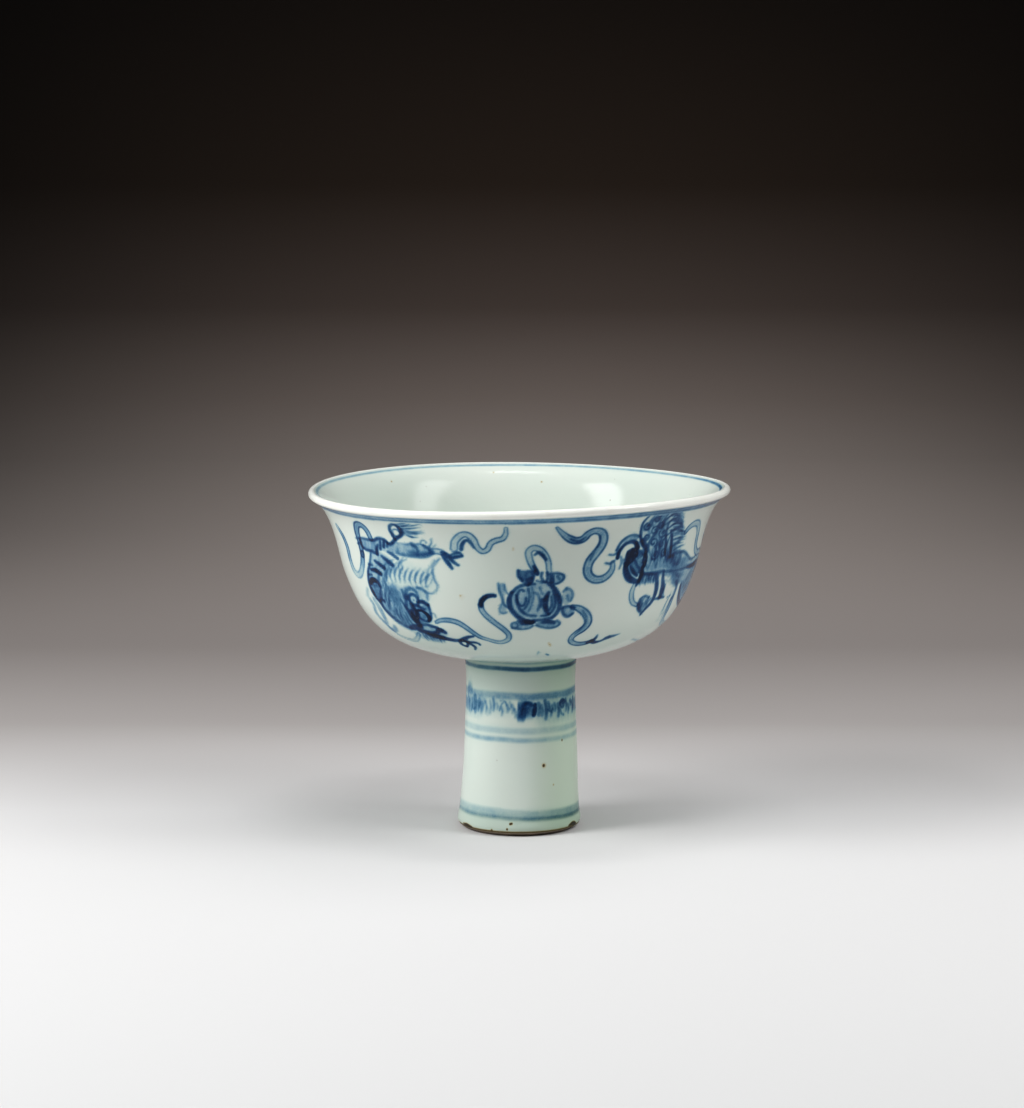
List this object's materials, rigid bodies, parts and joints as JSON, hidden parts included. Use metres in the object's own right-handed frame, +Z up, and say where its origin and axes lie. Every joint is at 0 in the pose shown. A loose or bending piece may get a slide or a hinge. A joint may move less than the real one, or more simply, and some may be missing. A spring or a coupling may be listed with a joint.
{
  "type": "stem cup",
  "caption": "Porcelain stem cup: a deep bowl with a turned-out lip on a hollow tapering stem, with cobalt lines under a clear glaze and a bare foot ring, for holding drink or offerings.",
  "frame": {"origin": "centre of the foot ring's flat underside, on the table", "axes": "+Z up along the axis of the stem and bowl; -Y towards the viewer of the picture; +X to the viewer's right"},
  "size_m": [0.155, 0.155, 0.1273],
  "materials": {
    "clay": "fired porcelain, bare at the foot ring",
    "slip": "fired slip",
    "glaze": "clear gloss, faintly green-blue",
    "cobalt": "brushed colour under the glaze"
  },
  "bodies": {
    "root": {"bowl_body": "clay", "stem_body": "clay", "luting_slip": "slip", "bowl_outer_glaze": "glaze", "bowl_inner_glaze": "glaze", "lip_glaze": "glaze", "stem_outer_glaze": "glaze", "stem_inner_glaze": "glaze", "inner_rim_line": "cobalt", "outer_rim_line_upper": "cobalt", "outer_rim_line_lower": "cobalt", "neck_line": "cobalt", "border_line": "cobalt", "stem_line_upper": "cobalt", "stem_line_lower": "cobalt", "foot_line": "cobalt"}
  },
  "joints": []
}
